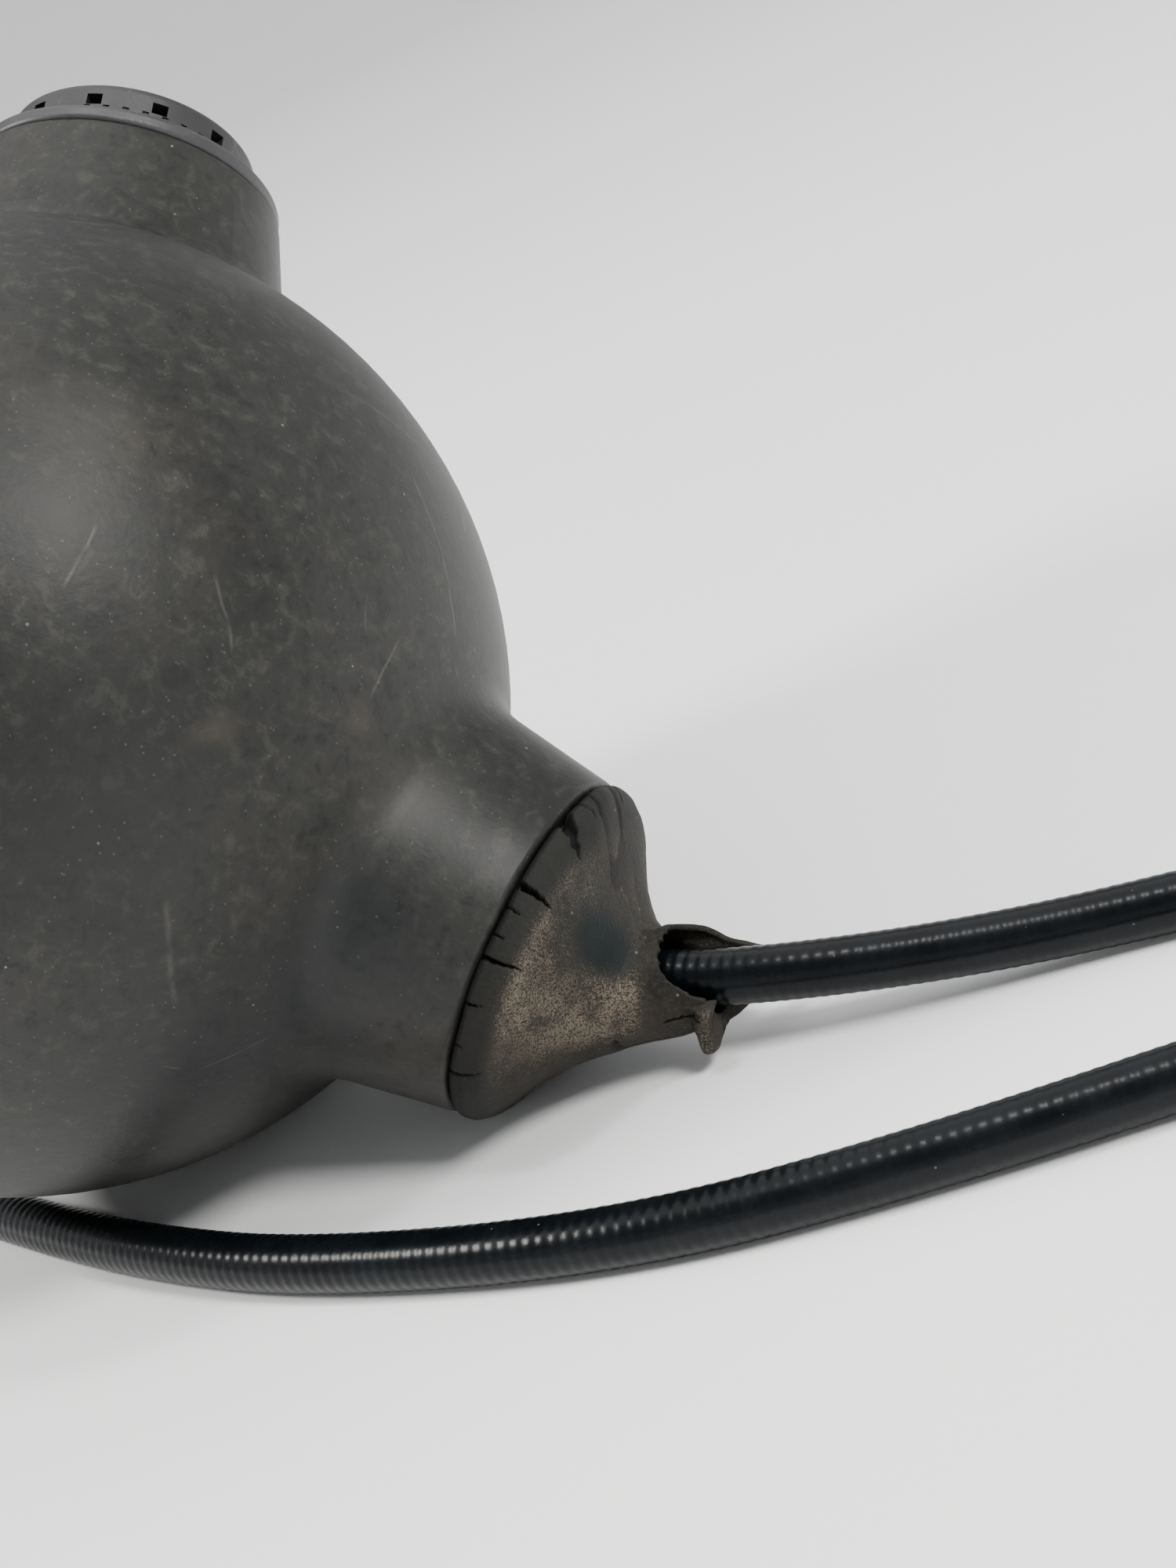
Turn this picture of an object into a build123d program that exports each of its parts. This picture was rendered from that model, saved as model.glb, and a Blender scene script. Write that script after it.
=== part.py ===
from build123d import *
from math import cos, pi, radians, sin, tan
import os

# Rubber-ball hand vacuum pump: a squeeze ball with a suction neck and an exhaust neck, a hose,
# and a coupling with a release valve on the hose's far end. Millimetres, +Z up, standing on Z = 0.
# The origin is the bottom centre of the pump's box, without the hose. The suction neck points
# along +X and dips to the table; the exhaust neck points along +Y and rises.

# ---- ball and necks ----
ball_r = 64.0
ball_wall = 3.5
ball_x, ball_y = -13.5, -7.0
neck_bore_r = 18.8
neck_rim_r = neck_bore_r + ball_wall
neck_base_r = neck_rim_r + 3.3      # where a neck leaves the ball
neck_len = 18.4             # from the ball's surface to a neck's rim, along the neck
neck_root = 10.0            # how far the neck's solid is carried on into the ball
neck_blend = 7.0
rim_round = 1.0
suction_dip = 36.3          # degrees below level, so that ball and rim both touch the table
exhaust_rise = 39.0         # degrees above level

# ---- fits ----
slip = 0.1                  # radial, piece in a bore
running = 0.07              # radial, sliding fit
face_gap = 0.03             # between faces that rest on each other
seam_gap = 0.6              # open seam between neck rim and boot

# ---- plugs in the necks ----
plug_flange_r = neck_bore_r + 0.8
plug_flange_t = 2.5
plug_len = 22.0             # of the full-width plug inside a neck
neck_ring_wire_r = 1.3
neck_ring_inset = 7.6       # from a neck's rim
neck_ring_bite = 0.35       # how far the ring's groove is narrower than the ring

# ---- check valves, the same pieces in both necks ----
chamber_r = 9.5
seat_t = 2.0
seat_hole_r = 3.2
seat_lip_r = 4.4
seat_lip_h = 0.6
disc_r = 6.0
disc_t = 1.6
disc_boss_r = 2.0
disc_boss_h = 1.0
valve_lift = 1.2
spring_coil_r = 3.2
spring_wire_r = 0.25
spring_turns = 4
cage_skirt_t = 1.0
cage_room = 6.5             # seat face to the cage's plate
cage_plate_t = 1.5
cage_hole_r = 1.5
cage_hole_circle_r = 5.5
cage_stop_r = 1.5
snap_ring_t = 1.0
snap_ring_bite = 0.7        # how far the snap ring stands into the wall
chamber_mouth = 10.5        # seat face to the chamber's mouth
inlet_seat_inset = 7.0      # from the hose pocket's floor to the inlet seat's face
throat_r = 5.0

# ---- exhaust neck ----
exhaust_flange_r = neck_rim_r - 0.3
flange_round = 0.8
collar_r = chamber_r + 4.5
collar_h = 3.0
cap_r = collar_r + 3.5
cap_h = 6.8
cap_round = 1.2
cap_ledge = 1.5             # how far the cap's inner ledge stands in over the collar
cap_top_t = 2.0
cap_vent_r = 1.2
cap_vent_circle_r = 8.5
cap_vents = 8
side_vents = 12
side_vent_w = 2.2
side_vent_h = 1.7
knurls = 40
knurl_r = 0.55

# ---- hose and its barb ----
hose_r = 3.5
pocket_r = 8.0
pocket_inset = 10.6         # from the neck's rim to the floor of the plug's hose pocket
barb_washer_t = 0.8
barb_flange_r = 5.5
barb_flange_t = 2.0
barb_shank_r = 3.0
barb_tail_r = 1.8
barb_tail = 6.5
barb_ridge_r = 2.2
barb_ridges, barb_ridge_first, barb_ridge_pitch, barb_ridge_len = 3, 1.0, 1.8, 1.5
barb_bore_r = 1.2
clip_r = hose_r + 1.0
clip_start, clip_len = 1.6, 4.0     # from the hose's end

# ---- boot ----
boot_lip_r = neck_rim_r - 0.3
boot_lip = 4.0
boot_cone_slope = 1.33      # radius lost for each millimetre along the neck
boot_wall = 2.2
boot_sleeve_r = hose_r + 3.0
boot_sleeve_share = 0.62    # how far the sleeve goes along the hose's third run

# ---- coupling on the far end ----
coupling_x, coupling_y = -92.0, 30.0    # where the hose ends, at the coupling's back face
coupling_r = 7.0
coupling_len = 26.0
coupling_bore_r = 1.6
coupling_grooves = 4
groove_first, groove_depth, groove_w, groove_pitch = 2.0, 0.5, 0.9, 2.0
nozzle_r = 4.0
nozzle_len = 16.0
nozzle_ring_wire_r = 0.9
nozzle_ring_place = 11.5    # from the nozzle's root
nozzle_ring_proud = 0.12    # above the nozzle, little enough for a sliding sleeve
tail_barb_shank_r = 3.0
tail_barb_shank = 6.0
ferrule_r = hose_r + 1.7
ferrule_len = 7.0
ferrule_round = 0.6
release_y = 13.0            # from the coupling's back face to the button's axis
release_chamber_r = 3.4
release_seat_h = 9.0        # above the table
release_floor_h = 3.0
release_plug_t = 2.4
slot_w = 0.9                # screwdriver slot in the release plug, as deep as it is wide
spring_pocket_h = 11.0
spring_pocket_r = 3.6
turret_r = spring_pocket_r + 2.0
turret_h = 16.0
turret_round = 0.6
button_low, button_high = 14.5, 18.6
button_round = 1.0
stem_r = 1.1
stem_hole_r = 1.7
poppet_t = 1.4
release_washer_r = release_chamber_r - 0.5
poppet_r = release_washer_r - 0.3
release_washer_t = 0.95
release_coil_r = 2.4
release_wire_r = 0.2
release_turns = 2.5
stem_in_button = 2.0

# ---- hose route: chosen by hand, in the pump's frame, hose centre line ----
lead_route = [
    (42.3, -7.0, 23.0), (52.5, -7.0, 15.5), (64.0, -4.9, 10.4), (82.0, -2.0, 8.2),
    (101.0, 4.6, 5.2), (121.0, 11.9, 3.5), (157.0, 22.4, 3.5), (173.0, 47.0, 3.5),
]
tail_route = [
    (214.0, -21.5, 9.6), (198.0, -21.8, 11.4), (176.0, -20.5, 11.4), (146.0, -14.4, 3.7),
    (109.5, -32.4, 3.5), (75.2, -45.4, 3.5), (32.0, -49.0, 3.5), (1.0, -45.5, 3.5),
    (-25.5, -39.5, 3.5), (-52.0, -32.2, 3.5), (-75.0, -21.0, 3.5), (-89.0, -3.0, 4.4),
    (coupling_x, 17.0, coupling_r), (coupling_x, coupling_y, coupling_r),
]
coil_x, coil_y = 204.0, 17.0
coil_inner_turn_r, coil_outer_turn_r = 35.0, 42.0   # of the innermost and outermost turns
coil_height = 3.75 * hose_r

# ---- places worked out from the sizes ----
ball_centre = Vector(ball_x, ball_y, ball_r)
suction_way = Vector(cos(radians(suction_dip)), 0, -sin(radians(suction_dip)))
exhaust_way = Vector(0, cos(radians(exhaust_rise)), sin(radians(exhaust_rise)))
base_place = (ball_r**2 - neck_base_r**2) ** 0.5     # ball centre to a neck's base
neck_reach = base_place + neck_len                  # ball centre to a neck's rim
neck_ring_place = neck_reach - neck_ring_inset
plug_inner_end = neck_reach - plug_len
pocket_floor = neck_reach - pocket_inset
inlet_seat_place = pocket_floor - inlet_seat_inset
flange_end = neck_reach + plug_flange_t
plug_turret_r = chamber_r + 3.5
boot_start = neck_reach + seam_gap
hose_start = pocket_floor + barb_washer_t + barb_flange_t
exhaust_seat_place = flange_end - chamber_mouth
disc_top = face_gap + disc_t
boss_top = disc_top + disc_boss_h


def profile_plane(origin, way, across):
    """Plane whose X is the distance from an axis and whose Y runs along that axis."""
    return Plane(origin=origin, x_dir=across, z_dir=across.cross(way))


def band(inner_r, outer_r, start, end):
    """Rectangle between two radii and two places along the axis, in the open profile sketch."""
    with Locations((inner_r, start)):
        Rectangle(outer_r - inner_r, end - start, align=(Align.MIN, Align.MIN))


def outline(*points):
    """Closed polygon of (radius, place) points in the open profile sketch."""
    Polygon(*points, align=None)


def corner_radii(route):
    """The largest fair radius at each corner: 0.45 of the shorter run over tan(half the turn)."""
    points = [Vector(*p) for p in route]
    radii = []
    for before, here, after in zip(points, points[1:], points[2:]):
        turn = (here - before).get_angle(after - here)
        shorter = min((here - before).length, (after - here).length)
        radii.append(0.45 * shorter / tan(radians(turn / 2)))
    return radii


def write(piece, name):
    """Label a finished piece and write its STEP file."""
    piece.part.label = name
    export_step(piece.part, f"parts/{name}.step")


os.makedirs("parts", exist_ok=True)
suction_profile = profile_plane(ball_centre, suction_way, Vector(0, 1, 0))
suction_axis = Axis(ball_centre, suction_way)
exhaust_profile = profile_plane(ball_centre, exhaust_way, Vector(1, 0, 0))
exhaust_axis = Axis(ball_centre, exhaust_way)
necks = [(suction_profile, suction_axis), (exhaust_profile, exhaust_axis)]

# ---- ball: one rubber moulding, hollow, with two necks ----
with BuildPart() as bulb_shell:
    seam_behind = Location(ball_centre, (0, 0, 225))    # keeps the sphere's seam clear of the necks
    with Locations(seam_behind):
        Sphere(ball_r)
    root_place = base_place - neck_root
    root_r = neck_base_r + neck_root * (neck_base_r - neck_rim_r) / neck_len
    for plane, axis in necks:
        with BuildSketch(plane):
            outline((0, root_place), (root_r, root_place), (neck_rim_r, neck_reach), (0, neck_reach))
        revolve(axis=axis)
    round_edges = bulb_shell.edges().filter_by(GeomType.CIRCLE)
    fillet(round_edges.filter_by(lambda e: abs(e.radius - neck_base_r) < 0.01), neck_blend)
    round_edges = bulb_shell.edges().filter_by(GeomType.CIRCLE)
    fillet(round_edges.filter_by(lambda e: abs(e.radius - neck_rim_r) < 0.01), rim_round)
    with Locations(seam_behind):
        Sphere(ball_r - ball_wall, mode=Mode.SUBTRACT)
    for plane, axis in necks:
        with BuildSketch(plane):
            band(0, neck_bore_r, 0, neck_reach + 1)
        revolve(axis=axis, mode=Mode.SUBTRACT)
write(bulb_shell, "bulb_shell")


def neck_ring_groove():
    """Groove round a plug for the neck's O-ring, in the open profile sketch."""
    depth = 2 * neck_ring_wire_r - neck_ring_bite
    half = neck_ring_wire_r + slip
    band(neck_bore_r - depth, neck_bore_r, neck_ring_place - half, neck_ring_place + half)


# ---- suction plug: valve chamber towards the ball, hose pocket outwards ----
chamber_floor = inlet_seat_place + seat_t + seat_lip_h
chamber_end = inlet_seat_place - chamber_mouth
with BuildPart() as suction_plug:
    with BuildSketch(suction_profile):
        band(0, neck_bore_r - slip, plug_inner_end, neck_reach + face_gap)
        band(0, plug_turret_r, chamber_end, plug_inner_end)
        band(0, plug_flange_r, neck_reach + face_gap, flange_end)
    revolve(axis=suction_axis)
    with BuildSketch(suction_profile):
        band(0, chamber_r, chamber_end, chamber_floor)
        band(0, barb_shank_r + running, chamber_floor, pocket_floor)
        band(0, pocket_r, pocket_floor, flange_end)
        groove_low = inlet_seat_place - cage_room - cage_plate_t - snap_ring_t - 2 * face_gap
        band(0, chamber_r + snap_ring_bite + slip, groove_low, groove_low + snap_ring_t + face_gap)
        neck_ring_groove()
    revolve(axis=suction_axis, mode=Mode.SUBTRACT)
write(suction_plug, "suction_plug")

# ---- exhaust body: throat towards the ball, valve chamber outwards, collar for the cap ----
exhaust_floor = exhaust_seat_place - seat_t - seat_lip_h
with BuildPart() as exhaust_body:
    with BuildSketch(exhaust_profile):
        band(0, neck_bore_r - slip, plug_inner_end, neck_reach + face_gap)
        band(0, exhaust_flange_r, neck_reach + face_gap, flange_end)
        band(0, collar_r, flange_end, flange_end + collar_h)
    revolve(axis=exhaust_axis)
    with BuildSketch(exhaust_profile):
        band(0, throat_r, plug_inner_end, exhaust_floor)
        band(0, chamber_r, exhaust_floor, flange_end + collar_h)
        groove_low = exhaust_seat_place + cage_room + cage_plate_t + face_gap
        band(0, chamber_r + snap_ring_bite + slip, groove_low, groove_low + snap_ring_t + face_gap)
        neck_ring_groove()
    revolve(axis=exhaust_axis, mode=Mode.SUBTRACT)
    round_edges = exhaust_body.edges().filter_by(GeomType.CIRCLE)
    fillet(round_edges.filter_by(lambda e: abs(e.radius - exhaust_flange_r) < 0.01), flange_round)
write(exhaust_body, "exhaust_body")

# ---- O-rings in the necks: a round wire, flattened to the bore by its own squeeze ----
for name, plane, axis in [
    ("suction_neck_ring", suction_profile, suction_axis),
    ("exhaust_neck_ring", exhaust_profile, exhaust_axis),
]:
    with BuildPart() as neck_ring:
        with BuildSketch(plane):
            with Locations((neck_bore_r - neck_ring_wire_r + neck_ring_bite / 2, neck_ring_place)):
                Circle(neck_ring_wire_r)
            wall_gap = neck_bore_r - face_gap
            groove_bottom = neck_bore_r - 2 * neck_ring_wire_r + neck_ring_bite + face_gap
            with Locations(((wall_gap + groove_bottom) / 2, neck_ring_place)):
                Rectangle(wall_gap - groove_bottom, 3 * neck_ring_wire_r, mode=Mode.INTERSECT)
        revolve(axis=axis)
    write(neck_ring, name)

# ---- check valves: places are counted from the seat's face, the way the valve opens ----
valves = [
    ("inlet", ball_centre + suction_way * inlet_seat_place, suction_way * -1, Vector(0, 1, 0)),
    ("exhaust", ball_centre + exhaust_way * exhaust_seat_place, exhaust_way, Vector(1, 0, 0)),
]
for name, seat_centre, opens, across in valves:
    plane = profile_plane(seat_centre, opens, across)
    axis = Axis(seat_centre, opens)
    with BuildPart() as valve_seat:
        with BuildSketch(plane):
            band(seat_hole_r, chamber_r - slip, face_gap - seat_t - seat_lip_h, -seat_lip_h)
            band(seat_hole_r, seat_lip_r, -seat_lip_h, 0)
        revolve(axis=axis)
    write(valve_seat, f"{name}_valve_seat")

    with BuildPart() as valve_disc:
        with BuildSketch(plane):
            band(0, disc_r, face_gap, disc_top)
            band(0, disc_boss_r, disc_top, boss_top)
        revolve(axis=axis)
    write(valve_disc, f"{name}_valve_disc")

    spring_room = cage_room - disc_top - 2 * (face_gap + spring_wire_r)
    with BuildPart() as valve_spring:
        with BuildLine():
            coil = Helix(
                pitch=spring_room / spring_turns,
                height=spring_room,
                radius=spring_coil_r,
                center=seat_centre + opens * (disc_top + face_gap + spring_wire_r),
                direction=opens,
            )
        with BuildSketch(Plane(origin=coil @ 0, z_dir=coil % 0)):
            Circle(spring_wire_r)
        sweep(path=coil, is_frenet=True)
    write(valve_spring, f"{name}_valve_spring")

    cage_end = cage_room + cage_plate_t
    with BuildPart() as valve_cage:
        with BuildSketch(plane):
            skirt_r = chamber_r - slip
            band(skirt_r - cage_skirt_t, skirt_r, face_gap - seat_lip_h, cage_end)
            band(0, skirt_r, cage_room, cage_end)
            band(0, cage_stop_r, boss_top + valve_lift + face_gap, cage_room)
        revolve(axis=axis)
        with BuildSketch(Plane(origin=seat_centre + opens * cage_end, z_dir=opens)):
            with PolarLocations(cage_hole_circle_r, 6):
                Circle(cage_hole_r)
        extrude(amount=-cage_plate_t, mode=Mode.SUBTRACT)
    write(valve_cage, f"{name}_valve_cage")

    with BuildPart() as valve_ring:
        with BuildSketch(Plane(origin=seat_centre + opens * (cage_end + face_gap), z_dir=opens)):
            Circle(chamber_r + snap_ring_bite)
            Circle(chamber_r - 1.5 * cage_skirt_t, mode=Mode.SUBTRACT)
            with Locations((chamber_r, 0)):
                Rectangle(4 * snap_ring_t, 3 * snap_ring_t, mode=Mode.SUBTRACT)
        extrude(amount=snap_ring_t)
    write(valve_ring, f"{name}_valve_ring")

# ---- exhaust cap: knurled, screwed over the collar, vented on top and round its side ----
cap_start = flange_end + 2 * face_gap
cap_end = flange_end + cap_h
with BuildPart() as exhaust_cap:
    with BuildSketch(exhaust_profile):
        band(0, cap_r, cap_start, cap_end)
    revolve(axis=exhaust_axis)
    fillet(exhaust_cap.edges().filter_by(GeomType.CIRCLE).sort_by(exhaust_axis)[-1], cap_round)
    with BuildSketch(exhaust_profile):
        band(0, collar_r + slip, cap_start, flange_end + collar_h + face_gap)
        band(0, collar_r - cap_ledge, flange_end + collar_h + face_gap, cap_end - cap_top_t)
    revolve(axis=exhaust_axis, mode=Mode.SUBTRACT)
    with BuildSketch(Plane(origin=ball_centre + exhaust_way * cap_end, z_dir=exhaust_way)):
        Circle(cap_vent_r)
        with PolarLocations(cap_vent_circle_r, cap_vents):
            Circle(cap_vent_r)
    extrude(amount=-cap_top_t, mode=Mode.SUBTRACT)
    vent_place = cap_end - cap_top_t - side_vent_h / 2 + face_gap
    vent_plane = Plane(origin=ball_centre + exhaust_way * vent_place, z_dir=exhaust_way)
    with BuildSketch(vent_plane.offset(-side_vent_h / 2)):
        with PolarLocations(cap_r, side_vents):
            Rectangle(2 * (cap_r - collar_r + cap_ledge + 1), side_vent_w)
    extrude(amount=side_vent_h, mode=Mode.SUBTRACT)
    with BuildSketch(Plane(origin=ball_centre + exhaust_way * cap_start, z_dir=exhaust_way)):
        with PolarLocations(cap_r + knurl_r / 2, knurls):
            Circle(knurl_r)
    extrude(amount=collar_h, mode=Mode.SUBTRACT)
write(exhaust_cap, "exhaust_cap")

# ---- hose barb, screwed through the suction plug's web, with its washer and the hose's clip ----
with BuildPart() as hose_barb:
    with BuildSketch(suction_profile):
        band(barb_bore_r, barb_shank_r, chamber_floor + face_gap, pocket_floor)
        band(barb_bore_r, barb_shank_r, pocket_floor, pocket_floor + barb_washer_t)
        flange_low = pocket_floor + barb_washer_t
        band(barb_bore_r, barb_flange_r, flange_low, hose_start - face_gap)
        band(barb_bore_r, barb_tail_r, hose_start - face_gap, hose_start + barb_tail)
        for ridge in range(barb_ridges):
            low = hose_start + barb_ridge_first + ridge * barb_ridge_pitch
            high = low + barb_ridge_len
            outline((barb_bore_r, low), (barb_ridge_r, low), (barb_tail_r, high), (barb_bore_r, high))
    revolve(axis=suction_axis)
write(hose_barb, "hose_barb")

with BuildPart() as barb_washer:
    with BuildSketch(suction_profile):
        band(barb_shank_r + running, barb_flange_r, pocket_floor + face_gap, flange_low - face_gap)
    revolve(axis=suction_axis)
write(barb_washer, "barb_washer")

with BuildPart() as hose_clip:
    with BuildSketch(suction_profile):
        band(hose_r + face_gap, clip_r, hose_start + clip_start, hose_start + clip_start + clip_len)
    revolve(axis=suction_axis)
write(hose_clip, "hose_clip")

# ---- hose: two tubes of straight runs and tangent arcs, and one ring for the put-away coil ----
for name, route in [("hose_lead", lead_route), ("hose_tail", tail_route)]:
    radii = corner_radii(route)
    with BuildPart() as hose_run:
        with BuildLine():
            path = FilletPolyline(*route, radius=radii)
        with BuildSketch(Plane(origin=path @ 0, z_dir=path % 0)):
            Circle(hose_r)
        sweep(path=path)
    volume_length = hose_run.part.volume / (pi * hose_r**2)
    print(name, "length", round(path.length, 1), "volume over section", round(volume_length, 1))
    print(name, "arc radii", [round(r) for r in radii])
    write(hose_run, name)

with BuildPart() as hose_coil:
    with BuildSketch(Plane(origin=(coil_x, coil_y, 0), x_dir=(1, 0, 0), z_dir=(0, -1, 0))):
        inside = coil_inner_turn_r - hose_r
        outside = coil_outer_turn_r + hose_r
        outline(
            (inside, 0), (outside, 0), (outside, 2 * hose_r), (coil_outer_turn_r, coil_height),
            (coil_inner_turn_r, coil_height), (inside, 2 * hose_r),
        )
    revolve(axis=Axis((coil_x, coil_y, 0), (0, 0, 1)))
write(hose_coil, "hose_coil")

# ---- boot: lip and cone round the neck's axis, sleeve along the hose, flattened on the table ----
lip_end = boot_start + boot_lip
cone_end = lip_end + (boot_lip_r - boot_sleeve_r) / boot_cone_slope
lean = (1 + boot_cone_slope**2) ** 0.5      # along the cone for each millimetre of axis
inner_lip_r = plug_flange_r + slip
inner_cone_r = boot_lip_r - boot_wall * lean    # inner cone's radius level with the lip's end
inner_turn = lip_end - (inner_lip_r - inner_cone_r) / boot_cone_slope
inner_cone_end = lip_end + (inner_cone_r - hose_r) / boot_cone_slope
sleeve_start, sleeve_end = Vector(*lead_route[2]), Vector(*lead_route[3])
sleeve_tip = sleeve_start + (sleeve_end - sleeve_start) * boot_sleeve_share
sleeve_route = [Vector(*p) for p in lead_route[:3]] + [sleeve_tip]
lead_radii = corner_radii(lead_route)
with BuildPart() as suction_boot:
    with BuildLine():
        sleeve_path = FilletPolyline(*sleeve_route, radius=lead_radii[:2])
    with BuildSketch(Plane(origin=sleeve_path @ 0, z_dir=sleeve_path % 0)):
        Circle(boot_sleeve_r)
    sweep(path=sleeve_path)
    with BuildSketch(suction_profile):
        band(0, 2 * boot_sleeve_r, 0, cone_end - 2 * boot_wall)
    revolve(axis=suction_axis, mode=Mode.SUBTRACT)
    with BuildSketch(suction_profile):
        outline(
            (0, boot_start), (boot_lip_r, boot_start), (boot_lip_r, lip_end),
            (boot_sleeve_r, cone_end), (0, cone_end),
        )
    revolve(axis=suction_axis)
    with BuildSketch(suction_profile):
        outline(
            (0, boot_start), (inner_lip_r, boot_start), (inner_lip_r, inner_turn),
            (hose_r, inner_cone_end), (0, inner_cone_end),
        )
    revolve(axis=suction_axis, mode=Mode.SUBTRACT)
    with BuildSketch(Plane(origin=sleeve_path @ 0, z_dir=sleeve_path % 0)):
        Circle(hose_r + slip)
    sweep(path=sleeve_path, mode=Mode.SUBTRACT)
    split(bisect_by=Plane.XY, keep=Keep.TOP)
write(suction_boot, "suction_boot")

# ---- coupling on the far end: lies along +Y, with the release button on top ----
end = Vector(coupling_x, coupling_y, coupling_r)
end_profile = profile_plane(end, Vector(0, 1, 0), Vector(1, 0, 0))
end_axis = Axis(end, (0, 1, 0))
button_centre = Vector(coupling_x, coupling_y + release_y, 0)
button_profile = profile_plane(button_centre, Vector(0, 0, 1), Vector(1, 0, 0))
button_axis = Axis(button_centre, (0, 0, 1))
nozzle_end = coupling_len + nozzle_len
with BuildPart() as coupling_body:
    with BuildSketch(end_profile):
        outline(
            (0, 0), (coupling_r - 0.8, 0), (coupling_r, 0.8), (coupling_r, coupling_len - 2.5),
            (coupling_r - 2, coupling_len), (nozzle_r, coupling_len), (nozzle_r, nozzle_end - 1),
            (nozzle_r - 1, nozzle_end), (0, nozzle_end),
        )
    revolve(axis=end_axis)
    with BuildSketch(Plane.XY.offset(coupling_r)):
        with Locations((button_centre.X, button_centre.Y)):
            Circle(turret_r)
    extrude(amount=turret_h - coupling_r)
    turret_rim = coupling_body.edges().filter_by(GeomType.CIRCLE).sort_by(Axis.Z)[-1]
    fillet(turret_rim, turret_round)
    with BuildSketch(end_profile):
        band(0, coupling_bore_r, 0, nozzle_end)
        band(0, tail_barb_shank_r + running, 0, tail_barb_shank)
        for ring in range(coupling_grooves):
            low = groove_first + ring * groove_pitch
            band(coupling_r - groove_depth, coupling_r + 1, low, low + groove_w)
        ring_half = nozzle_ring_wire_r + slip
        ring_place = coupling_len + nozzle_ring_place
        ring_floor = nozzle_r + nozzle_ring_proud - 2 * nozzle_ring_wire_r
        band(ring_floor, nozzle_r + 1, ring_place - ring_half, ring_place + ring_half)
    revolve(axis=end_axis, mode=Mode.SUBTRACT)
    with BuildSketch(button_profile):
        band(0, release_chamber_r, 0, release_seat_h)
        band(0, stem_hole_r, release_seat_h, spring_pocket_h)
        band(0, spring_pocket_r, spring_pocket_h, turret_h + 1)
    revolve(axis=button_axis, mode=Mode.SUBTRACT)
write(coupling_body, "coupling_body")

with BuildPart() as coupling_barb:
    with BuildSketch(end_profile):
        band(barb_bore_r, tail_barb_shank_r, face_gap, tail_barb_shank - face_gap)
        band(barb_bore_r, barb_tail_r, -barb_tail, face_gap)
        for ridge in range(barb_ridges):
            low = -barb_ridge_first - ridge * barb_ridge_pitch
            high = low - barb_ridge_len
            outline((barb_bore_r, low), (barb_ridge_r, low), (barb_tail_r, high), (barb_bore_r, high))
    revolve(axis=end_axis)
write(coupling_barb, "coupling_barb")

with BuildPart() as hose_ferrule:
    with BuildSketch(end_profile):
        band(hose_r + face_gap, ferrule_r, -ferrule_len, -face_gap)
    revolve(axis=end_axis)
    back_edges = hose_ferrule.edges().filter_by(GeomType.CIRCLE).sort_by(Axis.Y)[:2]
    fillet(back_edges.sort_by(SortBy.RADIUS)[-1], ferrule_round)
write(hose_ferrule, "hose_ferrule")

with BuildPart() as nozzle_ring:
    with BuildSketch(end_profile):
        with Locations((ring_floor + nozzle_ring_wire_r + face_gap, ring_place)):
            Circle(nozzle_ring_wire_r)
    revolve(axis=end_axis)
write(nozzle_ring, "nozzle_ring")

# ---- release valve: press the button, the stem pushes the washer off its seat ----
with BuildPart() as release_button:
    with BuildSketch(button_profile):
        band(0, spring_pocket_r - running, button_low, button_high)
    revolve(axis=button_axis)
    fillet(release_button.edges().filter_by(GeomType.CIRCLE).sort_by(Axis.Z)[-1], button_round)
    with BuildSketch(button_profile):
        band(0, stem_r + face_gap, button_low, button_low + stem_in_button)
    revolve(axis=button_axis, mode=Mode.SUBTRACT)
write(release_button, "release_button")

washer_top = release_seat_h - face_gap
washer_low = washer_top - release_washer_t
poppet_top = washer_low - face_gap
with BuildPart() as release_stem:
    with BuildSketch(button_profile):
        band(0, stem_r, poppet_top, button_low + stem_in_button - face_gap)
        band(0, poppet_r, poppet_top - poppet_t, poppet_top)
    revolve(axis=button_axis)
write(release_stem, "release_stem")

with BuildPart() as release_washer:
    with BuildSketch(button_profile):
        band(stem_r + face_gap, release_washer_r, washer_low, washer_top)
    revolve(axis=button_axis)
write(release_washer, "release_washer")

release_room = button_low - spring_pocket_h - 2 * (face_gap + release_wire_r)
with BuildPart() as release_spring:
    with BuildLine():
        coil = Helix(
            pitch=release_room / release_turns,
            height=release_room,
            radius=release_coil_r,
            center=button_centre + Vector(0, 0, spring_pocket_h + face_gap + release_wire_r),
        )
    with BuildSketch(Plane(origin=coil @ 0, z_dir=coil % 0)):
        Circle(release_wire_r)
    sweep(path=coil, is_frenet=True)
write(release_spring, "release_spring")

with BuildPart() as release_plug:
    with BuildSketch(button_profile):
        band(0, release_chamber_r - slip, release_floor_h - release_plug_t, release_floor_h)
    revolve(axis=button_axis)
    with BuildSketch(Plane.XY.offset(release_floor_h - release_plug_t)):
        with Locations((button_centre.X, button_centre.Y)):
            Rectangle(2 * release_chamber_r, slot_w)
    extrude(amount=slot_w, mode=Mode.SUBTRACT)
write(release_plug, "release_plug")
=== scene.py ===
import math

import bpy
import numpy as np
from mathutils import Matrix


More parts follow.
